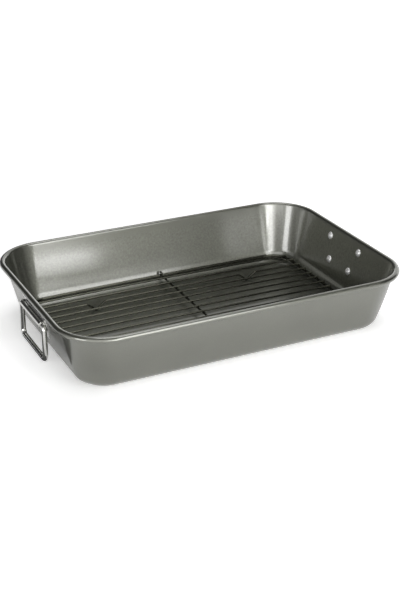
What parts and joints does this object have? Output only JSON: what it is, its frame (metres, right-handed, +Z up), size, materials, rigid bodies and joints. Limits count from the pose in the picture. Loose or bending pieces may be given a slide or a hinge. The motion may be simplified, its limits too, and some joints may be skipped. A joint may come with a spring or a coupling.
{
  "type": "roasting pan",
  "caption": "Deep rectangular roasting pan with leaning walls, a rolled rim, riveted drop handles at both ends and a lift-out wire rack on bent feet.",
  "frame": {"origin": "on the surface that the pan stands on, under the middle of the rim", "axes": "+X along the pan's length, through the right handle; +Y across it; +Z up out of the open top"},
  "size_m": [0.42, 0.2876, 0.0724],
  "materials": {
    "pan_steel": "satin, fine grained, slightly warm grey",
    "handle_steel": "polished bright",
    "rivet_metal": "polished bright",
    "rack_coating": "satin black non-stick coating"
  },
  "bodies": {
    "pan": {"pan": "pan_steel", "left_bracket": "handle_steel", "right_bracket": "handle_steel", "left_rivets": "rivet_metal", "right_rivets": "rivet_metal"},
    "left_bail": {"left_bail": "handle_steel"},
    "right_bail": {"right_bail": "handle_steel"},
    "rack": {"rack_frame": "rack_coating", "rack_cross_wire": "rack_coating", "rack_rod_01": "rack_coating", "rack_rod_02": "rack_coating", "rack_rod_03": "rack_coating", "rack_rod_04": "rack_coating", "rack_rod_05": "rack_coating", "rack_rod_06": "rack_coating", "rack_rod_07": "rack_coating", "rack_rod_08": "rack_coating", "rack_rod_09": "rack_coating", "rack_rod_10": "rack_coating", "rack_rod_11": "rack_coating", "rack_rod_12": "rack_coating", "rack_rod_13": "rack_coating", "rack_rod_14": "rack_coating"}
  },
  "joints": [
    {"name": "left_bail_hinge", "type": "hinge", "parent": "pan", "child": "left_bail", "pos_m": [-0.20351, 0, 0.0472], "axis": [0, 1, 0], "range_deg": [-14, 154]},
    {"name": "right_bail_hinge", "type": "hinge", "parent": "pan", "child": "right_bail", "pos_m": [0.20351, 0, 0.0472], "axis": [0, -1, 0], "range_deg": [-14, 154]},
    {"name": "rack_lift", "type": "slide", "parent": "pan", "child": "rack", "axis": [0, 0, 1], "range_m": [0, 0.09]}
  ]
}
